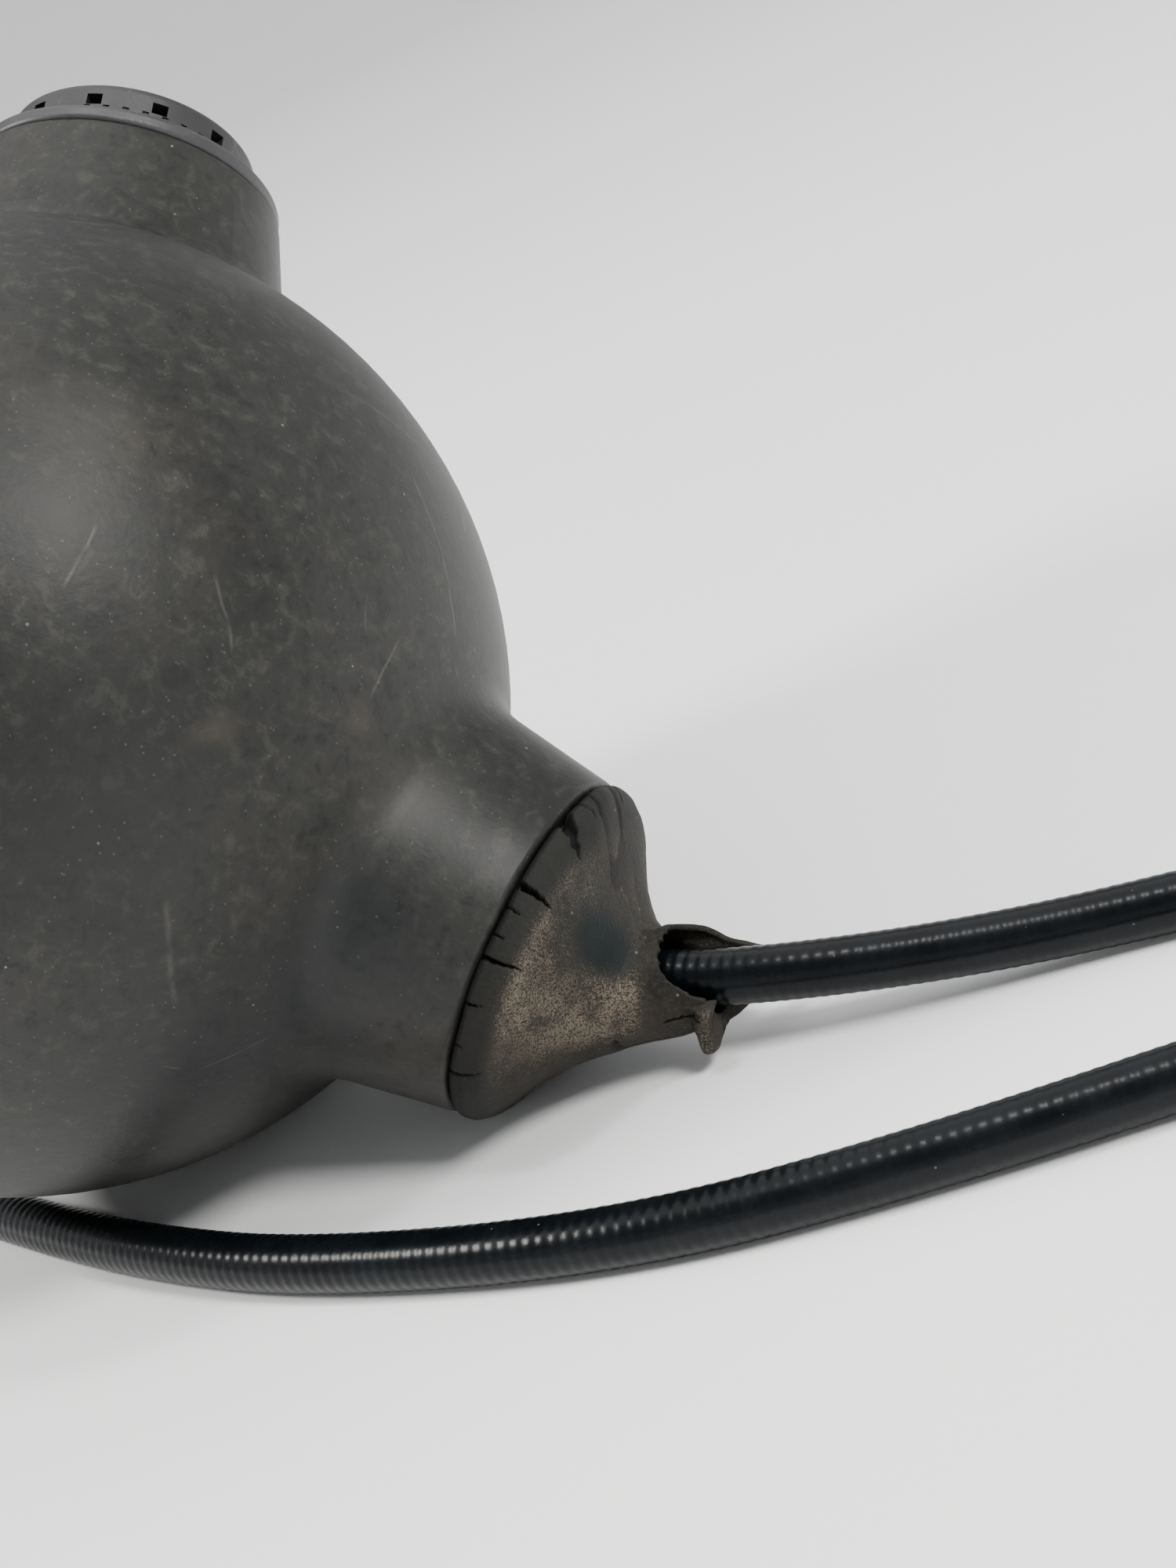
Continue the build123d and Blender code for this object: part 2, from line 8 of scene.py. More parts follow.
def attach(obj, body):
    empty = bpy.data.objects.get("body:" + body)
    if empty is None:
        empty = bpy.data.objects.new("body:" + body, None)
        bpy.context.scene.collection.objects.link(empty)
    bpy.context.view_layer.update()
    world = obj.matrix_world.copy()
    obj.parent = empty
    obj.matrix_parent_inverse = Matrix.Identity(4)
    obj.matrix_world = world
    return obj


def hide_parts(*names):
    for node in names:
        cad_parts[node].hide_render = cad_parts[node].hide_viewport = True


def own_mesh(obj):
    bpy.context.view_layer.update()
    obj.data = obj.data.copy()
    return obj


# Squeeze-ball hand vacuum pump: finishes for the carried-over solids, a perished boot, a ribbed hose
# and wound springs in place of their plain solids, a pale floor, soft lights and the camera.
# Metres and +Z up in the scene; shapes are worked out in millimetres and scaled by mm.

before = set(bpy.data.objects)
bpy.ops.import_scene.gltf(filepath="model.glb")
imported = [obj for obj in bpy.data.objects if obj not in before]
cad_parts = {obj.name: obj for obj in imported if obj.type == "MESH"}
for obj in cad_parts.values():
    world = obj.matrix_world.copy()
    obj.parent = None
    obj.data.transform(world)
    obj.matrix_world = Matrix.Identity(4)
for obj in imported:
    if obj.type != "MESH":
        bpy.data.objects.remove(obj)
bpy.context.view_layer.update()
mm = 0.001

# ---- sizes that the soft pieces share with the solids, in millimetres ----
ball_centre = np.array([-13.5, -7.0, 64.0])
suction_way = np.array([0.80593, 0.0, -0.59201])
hose_r = 3.5
rib_pitch, rib_depth = 1.6, 0.065
lead_points = [
    (42.3, -7.0, 23.0), (52.5, -7.0, 15.5), (64.0, -4.9, 10.4), (82.0, -2.0, 8.2),
    (101.0, 4.6, 5.2), (121.0, 11.9, 3.5), (157.0, 22.4, 3.5),
]
tail_points = [
    (214.0, -21.5, 9.6), (198.0, -21.8, 11.4), (176.0, -20.5, 11.4), (146.0, -14.4, 3.7),
    (109.5, -32.4, 3.5), (75.2, -45.4, 3.5), (32.0, -49.0, 3.5), (1.0, -45.5, 3.5),
    (-25.5, -39.5, 3.5), (-52.0, -32.2, 3.5), (-75.0, -21.0, 3.5), (-89.0, -3.0, 4.4),
    (-92.0, 17.0, 7.0), (-92.0, 30.0, 7.0),
]
coil_x, coil_y = 204.0, 17.0
outer_turn, inner_turn, top_turn = 42.0, 35.0, 38.5     # radii of the coil's turns
turn_points, coil_points = 12, 31                       # route points per turn, and in the whole coil
layer_rise = 0.866 * 2 * hose_r                         # the upper turn lies between the two lower ones


# ---- small tools for shapes ----
def smooth(low, high, value):
    """Soft step: 0 below low, 1 above high, 3t^2 - 2t^3 between them."""
    t = np.clip((value - low) / (high - low), 0, 1)
    return t * t * (3 - 2 * t)


def band(value, rise, fall):
    """1 between the soft steps rise and fall, each given as (from, to), and 0 outside them."""
    return smooth(*rise, value) * (1 - smooth(*fall, value))


def bell(value, middle, half_width, power=2):
    """exp(-((value - middle) / half_width) ^ power)."""
    return np.exp(-(((value - middle) / half_width) ** power))


def unit(vectors):
    """Vectors of length 1 along the last axis."""
    return vectors / np.linalg.norm(vectors, axis=-1, keepdims=True)


def ripple(angle, seed, waves=9, lowest=3):
    """Sum of sines of an angle in radians, each of its own whole frequency and phase, about -1 to 1."""
    draw = np.random.default_rng(seed)
    counts = lowest + np.cumsum(draw.integers(1, 5, waves))
    total = sum(np.sin(n * angle + p) / k for n, p, k in
                zip(counts, draw.uniform(0, 2 * math.pi, waves), range(1, waves + 1)))
    return total / 2


def skin(name, points, finish, closed_rows, marks=None):
    """Mesh of a grid of points, row by row. Columns close round; rows close on themselves, or get a
    fan at each end. marks are numbers per point, kept as attributes. Faces are turned outwards."""
    rows, columns, _ = points.shape
    spots = points.reshape(-1, 3) * mm
    near = np.arange(rows * columns).reshape(rows, columns)
    low = near if closed_rows else near[:-1]
    high = np.roll(near, -1, 0) if closed_rows else near[1:]
    quads = np.stack([low, np.roll(low, -1, 1), np.roll(high, -1, 1), high], -1).reshape(-1, 4)
    triangles = np.empty((0, 3), int)
    if not closed_rows:
        first, last = len(spots), len(spots) + 1
        ends = [points[0].mean(0) * mm, points[-1].mean(0) * mm]
        spots = np.vstack([spots, ends])
        head, tail = near[0], near[-1]
        head_fan = np.stack([np.full(columns, first), np.roll(head, -1), head], -1)
        tail_fan = np.stack([np.full(columns, last), tail, np.roll(tail, -1)], -1)
        triangles = np.vstack([head_fan, tail_fan])
    a, b, c, d = (spots[quads[:, k]] for k in range(4))
    volume = (np.cross(a, b) * c).sum() + (np.cross(a, c) * d).sum()     # its sign tells inside out
    if volume < 0:
        quads, triangles = quads[:, ::-1], triangles[:, ::-1]
    corners = np.concatenate([quads.ravel(), triangles.ravel()])
    sizes = np.concatenate([np.full(len(quads), 4), np.full(len(triangles), 3)])
    mesh = bpy.data.meshes.new(name)
    mesh.vertices.add(len(spots))
    mesh.vertices.foreach_set("co", spots.astype(np.float32).ravel())
    mesh.loops.add(len(corners))
    mesh.loops.foreach_set("vertex_index", corners.astype(np.int32))
    mesh.polygons.add(len(sizes))
    mesh.polygons.foreach_set("loop_start", (np.cumsum(sizes) - sizes).astype(np.int32))
    mesh.polygons.foreach_set("use_smooth", np.ones(len(sizes), bool))
    mesh.update(calc_edges=True)
    mesh.validate()
    for mark, values in (marks or {}).items():
        layer = mesh.attributes.new(mark, "FLOAT", "POINT")
        full = np.zeros(len(spots), np.float32)
        full[: rows * columns] = values.ravel()
        layer.data.foreach_set("value", full)
    piece = bpy.data.objects.new(name, mesh)
    bpy.context.scene.collection.objects.link(piece)
    mesh.materials.append(finish)
    return piece


# ---- small tools for finishes ----
class Wire:
    """A socket in a finish. Arithmetic on wires and numbers adds Math nodes."""

    def __init__(self, finish, socket):
        self.finish, self.socket = finish, socket

    def maths(self, operation, *others):
        values = dict(enumerate([self, *others]))
        return self.finish.node("ShaderNodeMath", {"operation": operation}, values)

    def __add__(self, other):
        return self.maths("ADD", other)

    def __mul__(self, other):
        return self.maths("MULTIPLY", other)

    def __sub__(self, other):
        return self.maths("SUBTRACT", other)

    def __rsub__(self, other):
        return (self * -1) + other

    def __abs__(self):
        return self.maths("ABSOLUTE")

    __radd__, __rmul__ = __add__, __mul__

    def step(self, low, high):
        """Soft step from 0 at low to 1 at high, which may run either way."""
        settings = {"interpolation_type": "SMOOTHSTEP"}
        values = {"Value": self, "From Min": low, "From Max": high}
        return self.finish.node("ShaderNodeMapRange", settings, values)


class Finish:
    """A material with one Principled shader, and short ways to add nodes to it."""

    def __init__(self, name, colour, roughness, **constants):
        self.material = bpy.data.materials.new(name)
        self.material.use_nodes = True
        self.tree = self.material.node_tree
        self.shader = self.tree.nodes["Principled BSDF"]
        self.set("Base Color", colour)
        self.set("Roughness", roughness)
        for socket, value in constants.items():
            self.set(socket.replace("_", " "), value)
        self.place = self.node("ShaderNodeTexCoord", output="Object")

    def set(self, socket, value):
        """Puts a number, a colour or a wire on one of the shader's sockets."""
        self.put(self.shader.inputs[socket], value)

    def put(self, socket, value):
        """Links a wire to a socket, or sets the socket to a number, a vector or a colour."""
        if isinstance(value, Wire):
            self.tree.links.new(value.socket, socket)
        elif isinstance(value, tuple) and socket.type == "RGBA":
            socket.default_value = (*value, 1.0)
        else:
            socket.default_value = value

    def node(self, kind, settings=None, inputs=None, output=0):
        """Adds a node, sets it up, fills or links its sockets, and gives one of its outputs."""
        made = self.tree.nodes.new(kind)
        for name, value in (settings or {}).items():
            setattr(made, name, value)
        for socket, value in (inputs or {}).items():
            self.put(made.inputs[socket], value)
        return Wire(self, made.outputs[output])

    def noise(self, scale, detail=3.0, roughness=0.5, place=None, output="Fac", distortion=0.0):
        """Cloudy noise, scale in features per metre."""
        values = {"Vector": place or self.place, "Scale": scale, "Detail": detail,
                  "Roughness": roughness, "Distortion": distortion}
        return self.node("ShaderNodeTexNoise", None, values, output)

    def cells(self, scale, place=None, output="Distance"):
        """Cell pattern, scale in cells per metre."""
        values = {"Vector": place or self.place, "Scale": scale}
        return self.node("ShaderNodeTexVoronoi", None, values, output)

    def spots(self, scale, size, odds):
        """Round spots in some cells of a pattern. size is the soft step from their rim to their
        middle, odds the soft step of each cell's own random number that leaves it out or in."""
        colour = self.cells(scale, None, "Color")
        number = self.node("ShaderNodeSeparateColor", None, {"Color": colour}, "Red")
        return self.cells(scale).step(*size) * number.step(*odds)

    def mix(self, factor, first, second):
        """Colour first where factor is 0 and second where it is 1."""
        settings = {"data_type": "RGBA"}
        return self.node("ShaderNodeMix", settings, {0: factor, 6: first, 7: second}, 2)

    def vector(self, operation, *others, output=0):
        values = dict(enumerate(others))
        return self.node("ShaderNodeVectorMath", {"operation": operation}, values, output)

    def mark(self, name):
        """One of the piece's own per-point numbers."""
        return self.node("ShaderNodeAttribute", {"attribute_name": name}, None, "Fac")

    def bump(self, height, distance):
        """Relief from a height of 0 to 1, distance in metres."""
        self.set("Normal", self.node("ShaderNodeBump", None, {"Distance": distance, "Height": height}))


def wobble(finish, scale, amount):
    """The finish's coordinates, moved about by noise, by up to half the amount in metres each way."""
    shake = finish.noise(scale, output="Color")
    centred = finish.vector("SUBTRACT", shake, (0.5, 0.5, 0.5))
    return finish.vector("ADD", finish.place, finish.vector("MULTIPLY", centred, (amount,) * 3))


# ---- ball rubber: matte, dusty, scuffed, with a few long scratches; painted shade on its lower front, painted highlights by the neck ----
scratches_and_sheen_streak = [   # start and end on the ball, half width, strength
    ((45.8, 14.5, 75.1), (49.1, 3.9, 56.0), 0.34, 0.50),
    ((45.7, -24.2, 81.1), (46.5, -27.7, 71.9), 0.30, 0.40),
    ((50.4, -5.7, 61.6), (49.8, -14.4, 58.6), 0.30, 0.45),
    ((37.1, -44.7, 53.2), (31.0, -46.2, 40.0), 0.55, 0.32),
    ((39.4, -30.0, 91.7), (37.6, -37.4, 87.7), 0.34, 0.60),
    ((50.3, -7.4, 68.8), (50.4, -10.8, 64.9), 0.26, 0.35),
    ((25.5, -43.9, 29.2), (30.3, -35.8, 27.3), 0.26, 0.35),
    ((24.4, -49.2, 34.5), (25.0, -45.9, 30.7), 0.26, 0.30),
    ((42.5, 13.5, 87.2), (42.0, 22.9, 74.9), 0.60, 0.30),
    ((42.3, 24.3, 65.2), (44.0, 21.1, 63.6), 0.70, 0.60),
    ((-58.0, -42.0, 90.0), (-66.0, -30.0, 80.0), 0.35, 0.45),
    ((-20.0, -68.0, 82.0), (-32.0, -66.0, 60.0), 0.35, 0.40),
    # painted highlight: a broad pale sheen streak along the neck
    ((57.5, -20.8, 35.4), (59.6, -14.0, 38.6), 1.5, 0.22),
    ((-50.0, 38.0, 92.0), (-62.0, 30.0, 70.0), 0.35, 0.40),
    ((10.0, -58.0, 95.0), (2.0, -66.0, 82.0), 0.30, 0.40),
]
stains_shade_and_highlight = [      # place on the ball, radius, strength, colour; stains, with painted shade and a painted highlight among them
    ((44.7, -33.5, 67.5), 4.5, 0.45, (0.050, 0.039, 0.027)),
    ((49.5, -15.9, 57.4), 4.5, 0.40, (0.055, 0.044, 0.034)),
    # dark bluish patch low on the ball, near the neck
    ((41.5, -27.3, 34.2), 18.0, 0.85, (0.0045, 0.0068, 0.0075)),
    ((36.7, -22.9, 100.4), 9.0, 0.40, (0.050, 0.048, 0.043)),
    ((-66.0, -40.0, 70.0), 9.0, 0.45, (0.055, 0.044, 0.034)),
    # painted shade: these two darken the ball's lower front
    ((26.0, -43.0, 28.0), 26.0, 0.7, (0.0085, 0.010, 0.0102)),
    ((36.0, -47.0, 66.0), 24.0, 0.7, (0.0090, 0.0098, 0.0095)),
    # painted highlight: a pale spot on the blend between the ball and the neck
    ((47.3, -16.5, 46.4), 9.0, 0.5, (0.050, 0.048, 0.044)),
]


def make_ball_rubber():
    rubber = Finish("ball rubber", (0.03, 0.03, 0.028), 0.5, Specular_IOR_Level=0.27)
    clouds = rubber.noise(38, 5, 0.55)
    grain = rubber.noise(900, 2, 0.6)
    dust = rubber.noise(16, 3, 0.5)
    tone = rubber.mix(clouds.step(0.3, 0.72), (0.0078, 0.0082, 0.0072), (0.0150, 0.0152, 0.0132))
    tone = rubber.mix(dust.step(0.45, 0.75) * 0.5, tone, (0.030, 0.0295, 0.0268))
    brown = rubber.noise(21, 4, 0.6, rubber.vector("ADD", rubber.place, (0.3, 0.1, 0.7)))
    tone = rubber.mix(brown.step(0.56, 0.74) * 0.4, tone, (0.040, 0.032, 0.024))
    grime = rubber.noise(390, 7, 0.72, distortion=0.4)
    tone = rubber.mix(grime.step(0.50, 0.68) * 0.65, tone, (0.036, 0.0352, 0.0280))
    tone = rubber.mix(grime.step(0.48, 0.34) * 0.7, tone, (0.0040, 0.0045, 0.0041))
    shaken = wobble(rubber, 60, 0.012)
    # stains, painted shade on the lower front and a painted highlight by the neck
    for spot, reach, strength, colour in stains_shade_and_highlight:
        away = rubber.vector("DISTANCE", shaken, tuple(mm * c for c in spot), output="Value")
        tone = rubber.mix(away.step(reach * mm, 0.0) * strength, tone, colour)
    specks = rubber.spots(420, (0.10, 0.05), (0.9, 0.93))
    tone = rubber.mix(specks * 0.7, tone, (0.20, 0.195, 0.18))
    flecks = rubber.spots(1300, (0.22, 0.12), (0.82, 0.86))
    tone = rubber.mix(flecks * 0.22, tone, (0.16, 0.155, 0.145))
    shaken = wobble(rubber, 45, 0.004)
    # scratches, and the painted sheen streak on the neck
    scratches_and_sheen = 0
    for start, end, width, strength in scratches_and_sheen_streak:
        first, second = np.array(start, float), np.array(end, float)
        across = unit(np.cross(first - ball_centre, second - ball_centre))
        middle = (first + second) / 2 * mm
        half = np.linalg.norm(first - second) / 2 * mm
        from_ball = rubber.vector("SUBTRACT", shaken, tuple(ball_centre * mm))
        off = abs(rubber.vector("DOT_PRODUCT", from_ball, tuple(across), output="Value"))
        along = rubber.vector("DISTANCE", shaken, tuple(middle), output="Value")
        line = off.step(width * mm, 0.0) * along.step(half * 1.08, half * 0.7)
        scratches_and_sheen = line * strength + scratches_and_sheen
    broken = rubber.noise(260, 3).step(0.32, 0.6)
    # pale scratch lines, with the neck's painted sheen streak
    tone = rubber.mix((scratches_and_sheen * broken).maths("MINIMUM", 1.0) * 0.75, tone, (0.095, 0.092, 0.084))
    rubber.set("Base Color", tone)
    rubber.set("Roughness", 0.36 + clouds * 0.12 + grime * 0.12 + specks * 0.2)
    rubber.bump(grain * 0.5 + grime * 0.5 + clouds * 0.25 + scratches_and_sheen * 0.4, 0.00007)
    return rubber.material


# ---- boot rubber: perished, grainy brown, bluish where it is still sound, with painted shade in its cracks, at its lip's edge and inside ----
def make_boot_rubber():
    rubber = Finish("boot rubber", (0.03, 0.027, 0.022), 0.72, Specular_IOR_Level=0.22)
    perished, sound, cracks_and_shade, lip = (rubber.mark(name) for name in ("perished", "sound", "cracks_and_shade", "lip"))
    clouds = rubber.noise(140, 5, 0.6)
    crust = rubber.noise(1700, 4, 0.7)
    tone = rubber.mix(clouds.step(0.3, 0.7), (0.0045, 0.0045, 0.0041), (0.0150, 0.0135, 0.0106))
    tone = rubber.mix(crust.step(0.48, 0.66) * 0.5, tone, (0.040, 0.034, 0.026))
    tone = rubber.mix(crust.step(0.47, 0.34) * 0.6, tone, (0.0060, 0.0060, 0.0058))
    brown = rubber.noise(75, 4, 0.6, rubber.vector("ADD", rubber.place, (0.5, 0.2, 0.4)))
    tone = rubber.mix(brown.step(0.46, 0.68) * 0.5, tone, (0.036, 0.029, 0.021))
    tone = rubber.mix(sound, tone, (0.0045, 0.0082, 0.0088))
    tone = rubber.mix(lip * 0.7, tone, (0.0070, 0.0080, 0.0072))
    shaken = wobble(rubber, 900, 0.0005)
    grains = rubber.noise(5000, 3, 0.7, shaken)
    patches = rubber.noise(260, 4, 0.6)
    worn = perished * (0.3 + patches.step(0.2, 0.6) * 0.7)
    grain = (grains + worn * 0.16).step(0.585, 0.70) * worn.maths("MINIMUM", 1.0)
    tone = rubber.mix(worn * 0.4, tone, (0.040, 0.033, 0.025))
    tone = rubber.mix(grain * 0.8, tone, (0.178, 0.148, 0.108))
    pits = rubber.cells(1500, shaken).step(0.34, 0.18) * worn
    tone = rubber.mix(pits * 0.8, tone, (0.008, 0.008, 0.008))
    specks = rubber.spots(700, (0.17, 0.08), (0.86, 0.9))
    tone = rubber.mix(specks * 0.6, tone, (0.17, 0.16, 0.14))
    # near black in the cracks, which is painted shade, and painted shade at the lip's edge and inside the
    # boot
    tone = rubber.mix(cracks_and_shade, tone, (0.003, 0.003, 0.003))
    rubber.set("Base Color", tone)
    rubber.set("Roughness", 0.62 + clouds * 0.2 - sound * 0.12 + cracks_and_shade * 0.1)
    rubber.bump(grains * worn * 0.9 + clouds * 0.35 + crust * 0.7 - pits * 0.8, 0.00018)
    return rubber.material


# ---- hose: glossy blue-black, its ribs are in its mesh ----
def make_hose_finish():
    hose = Finish("glossy hose", (0.003, 0.004, 0.005), 0.3, Specular_IOR_Level=0.17)
    smear = hose.noise(180, 4, 0.6)
    dust = hose.spots(800, (0.13, 0.06), (0.93, 0.95))
    tone = hose.mix(smear.step(0.35, 0.7), (0.0012, 0.0021, 0.0029), (0.0028, 0.0042, 0.0056))
    tone = hose.mix(dust * 0.6, tone, (0.12, 0.12, 0.115))
    hose.set("Base Color", tone)
    hose.set("Roughness", 0.20 + smear * 0.14 + dust * 0.3)
    hose.bump(hose.noise(1500, 3), 0.00002)
    return hose.material


def plain_moulding(name, light, dark, roughness, worn=None):
    """Moulded plastic or rubber: fine spark-eroded grain, a slow change of tone, scuffed patches."""
    finish = Finish(name, light, roughness)
    slow = finish.noise(90, 4, 0.55)
    fine = finish.noise(1400, 3, 0.6)
    tone = finish.mix(slow.step(0.3, 0.7), dark, light)
    if worn:
        rubbed = finish.noise(240, 5, 0.65).step(0.58, 0.72)
        tone = finish.mix(rubbed * 0.35, tone, worn)
    finish.set("Base Color", tone)
    finish.set("Roughness", roughness - 0.08 + slow * 0.16)
    finish.bump(fine, 0.00005)
    return finish.material


def worked_metal(name, light, dark, roughness, stretch, tarnish):
    """Turned or drawn metal: fine lines from noise stretched along one way, with dull patches."""
    metal = Finish(name, light, roughness, Metallic=1.0)
    lines = metal.noise(900, 3, 0.6, metal.vector("MULTIPLY", metal.place, stretch))
    dull = metal.noise(320, 4, 0.6).step(0.42, 0.72)
    tone = metal.mix(lines, dark, light)
    metal.set("Base Color", metal.mix(dull * 0.6, tone, tarnish))
    metal.set("Roughness", roughness + dull * 0.2 + lines * 0.08)
    metal.bump(lines, 0.00002)
    return metal.material


finishes = {
    "ball_rubber": make_ball_rubber(),
    "boot_rubber": make_boot_rubber(),
    "hose": make_hose_finish(),
    "black_moulding": plain_moulding(
        "black moulding", (0.030, 0.030, 0.032), (0.020, 0.020, 0.022), 0.45, (0.07, 0.07, 0.068)),
    "cap_moulding": plain_moulding(
        "cap moulding", (0.017, 0.017, 0.018), (0.011, 0.011, 0.012), 0.5, (0.09, 0.088, 0.083)),
    "cage_moulding": plain_moulding(
        "natural nylon", (0.62, 0.60, 0.54), (0.52, 0.49, 0.42), 0.42),
    "button_moulding": plain_moulding(
        "button moulding", (0.26, 0.022, 0.018), (0.19, 0.014, 0.012), 0.38, (0.34, 0.09, 0.07)),
    "seal_rubber": plain_moulding(
        "seal rubber", (0.022, 0.022, 0.022), (0.014, 0.014, 0.014), 0.6),
    "valve_rubber": plain_moulding(
        "valve silicone", (0.30, 0.10, 0.055), (0.24, 0.075, 0.042), 0.5),
    "brass": worked_metal(
        "turned brass", (0.76, 0.58, 0.30), (0.60, 0.44, 0.20), 0.28, (1, 6, 1), (0.34, 0.24, 0.12)),
    "crimp_aluminium": worked_metal(
        "drawn aluminium", (0.68, 0.68, 0.68), (0.52, 0.52, 0.53), 0.34, (1, 0.1, 1), (0.38, 0.38, 0.38)),
    "spring_steel": worked_metal(
        "spring wire", (0.60, 0.60, 0.61), (0.46, 0.46, 0.48), 0.3, (1, 1, 1), (0.35, 0.33, 0.30)),
}
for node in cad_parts.values():
    for holder in node.material_slots:
        holder.material = finishes[holder.material.name.split(".")[0]]

# ---- springs: wound wire for the valves and the button ----
def coil_spring(name, start, way, length, radius, wire_r, turns):
    """Wire round a helix: start + way * length * t + radius * out(t), where out turns through the turns
    as t goes from 0 to 1. The wire's circle lies along out and along square, which is at right angles
    to out and to the wire."""
    rings_per_turn, around = 36, 12
    way = unit(np.array(way))
    side = unit(np.cross(way, [0.3, 1.0, 0.2]))         # any way that isn't along the spring
    share = np.linspace(0, 1, int(turns * rings_per_turn) + 1)[:, None]
    swing = 2 * math.pi * turns * share
    out = side * np.cos(swing) + np.cross(way, side) * np.sin(swing)
    centre = np.array(start) + way * length * share + radius * out
    square = np.cross(unit(np.gradient(centre, axis=0)), out)
    angle = np.linspace(0, 2 * math.pi, around, endpoint=False)[:, None]
    circle = out[:, None] * np.cos(angle) + square[:, None] * np.sin(angle)
    points = centre[:, None] + wire_r * circle
    spring = skin(name, points, finishes["spring_steel"], False)
    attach(spring, "pump")
    return spring


valve_springs = {    # middle of the valve's seat face, and the way the valve opens
    "inlet": ((34.4181, -7.0, 28.8007), (-0.805928, 0.0, 0.592013)),
    "exhaust": ((-13.5, 46.6673, 107.459), (0.0, 0.777146, 0.62932)),
}
disc_face, cage_face, valve_lift = 1.66, 6.5, 1.2       # from the seat's face
valve_wire_r, valve_coil_r, face_gap = 0.25, 3.2, 0.03
for port, (seat, opens) in valve_springs.items():
    seat, opens = np.array(seat), np.array(opens)
    start = seat + opens * (disc_face + valve_wire_r)
    length = cage_face - face_gap - disc_face - 2 * valve_wire_r
    spring = coil_spring(port + "_spring", start, opens, length, valve_coil_r, valve_wire_r, 4)
    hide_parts(port + "_valve_spring")
    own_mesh(spring)
button_spring = coil_spring("button_spring", start=(-92.0, 43.0, 11.23), way=(0.0, 0.0, 1.0),
                            length=3.04, radius=2.4, wire_r=0.2, turns=2.5)
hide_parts("release_spring")
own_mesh(button_spring)

# ---- hose: one line through the boot, out to the put-away coil, back past the ball to the coupling ----
turn = np.arange(coil_points) / turn_points
coil_angle = np.radians(135 - 360 * turn)
tight = smooth(0.9, 1.1, turn)
climb = smooth(1.9, 2.2, turn)
coil_r = outer_turn + (inner_turn - outer_turn) * tight + (top_turn - inner_turn) * climb
coil_r = coil_r / math.cos(math.pi / turn_points)       # the line cuts the corners between its points
coil_line = np.stack([
    coil_x + coil_r * np.cos(coil_angle),
    coil_y + coil_r * np.sin(coil_angle),
    hose_r + layer_rise * climb,
], -1)
hose_points = np.vstack([lead_points, coil_line, tail_points]) * mm

route_curve = bpy.data.curves.new("hose route", "CURVE")
route_curve.dimensions = "3D"
route_curve.resolution_u = 24
spline = route_curve.splines.new("NURBS")
spline.points.add(len(hose_points) - 1)
spline.points.foreach_set("co", np.column_stack([hose_points, np.ones(len(hose_points))]).ravel())
spline.order_u = 3
spline.use_endpoint_u = True
route_object = bpy.data.objects.new("hose route", route_curve)
bpy.context.scene.collection.objects.link(route_object)
bpy.context.view_layer.update()
route_mesh = bpy.data.meshes.new_from_object(route_object)
route = np.array([v.co for v in route_mesh.vertices]) / mm
bpy.data.objects.remove(route_object)
bpy.data.meshes.remove(route_mesh)


def hose_skin(line):
    """Tube round a line: centre(l) + radius(l) * (side * cos + up * sin), where side is level and up
    completes the frame. The radius dips by rib_depth between ribs, as (1 - cos(2 pi l / pitch)) / 2.
    Gives the tube's points and its centre line."""
    around, rings_per_rib = 20, 5
    steps = np.linalg.norm(np.diff(line, axis=0), axis=1)
    along = np.concatenate([[0], np.cumsum(steps)])
    rings = int(along[-1] / rib_pitch * rings_per_rib)
    place = np.linspace(0, along[-1], rings)
    centre = np.stack([np.interp(place, along, line[:, k]) for k in range(3)], -1)
    way = unit(np.gradient(centre, axis=0))
    side = unit(np.cross(way, [0.0, 0.0, 1.0]))
    up = np.cross(side, way)
    radius = hose_r - rib_depth * (1 - np.cos(2 * math.pi * place / rib_pitch)) / 2
    angle = np.linspace(0, 2 * math.pi, around, endpoint=False)
    ring = side[:, None] * np.cos(angle)[:, None] + up[:, None] * np.sin(angle)[:, None]
    return centre[:, None] + ring * radius[:, None, None], centre


tube, hose_line = hose_skin(route)
hose = skin("hose", tube, finishes["hose"], False)
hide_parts("hose_lead", "hose_coil", "hose_tail")
(hose_line[::4] * mm).tolist()
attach(hose, "pump")

# ---- boot: perished moulding, cracked at its lip, torn open where the hose leaves it ----
lip_start = 77.42                   # from the ball's centre along the neck
hose_corner = np.array([64.0, -4.9, 10.4])
hose_way = unit(np.array([18.0, 2.9, -2.2]))
corner_place = 16.7                 # how far behind the lip the hose's corner is
profile_place, profile_radius = zip(    # place behind the lip, outer radius there
    (0, 21.8), (0.25, 22.2), (0.7, 22.4), (2.0, 22.5), (3.4, 22.1), (4.3, 21.2), (5.0, 19.9),
    (6.0, 17.9), (7.5, 15.0), (9.0, 12.8), (11.0, 10.5), (13.0, 8.9), (15.0, 7.8), (17.0, 7.0),
    (20.0, 6.2), (24.0, 5.6), (30.0, 5.2),
)
tear_angle, tear_place = zip(           # angle in degrees round the boot, place of its torn edge there
    (0, 22.8), (60, 22.8), (84, 24.0), (87, 23.8), (98, 22.4), (110, 20.6), (128, 18.6), (145, 17.8),
    (170, 17.6), (190, 17.6), (203, 17.6), (214, 17.7), (224, 18.2), (232, 19.4), (240, 21.4),
    (250, 24.2), (259, 26.8), (267, 29.2), (272, 30.0), (300, 28.2), (360, 22.8),
)
bead_len, bead_proud = 2.3, 1.25        # bead round the edge where it isn't torn
wall_lip, wall_sleeve = 2.3, 1.5
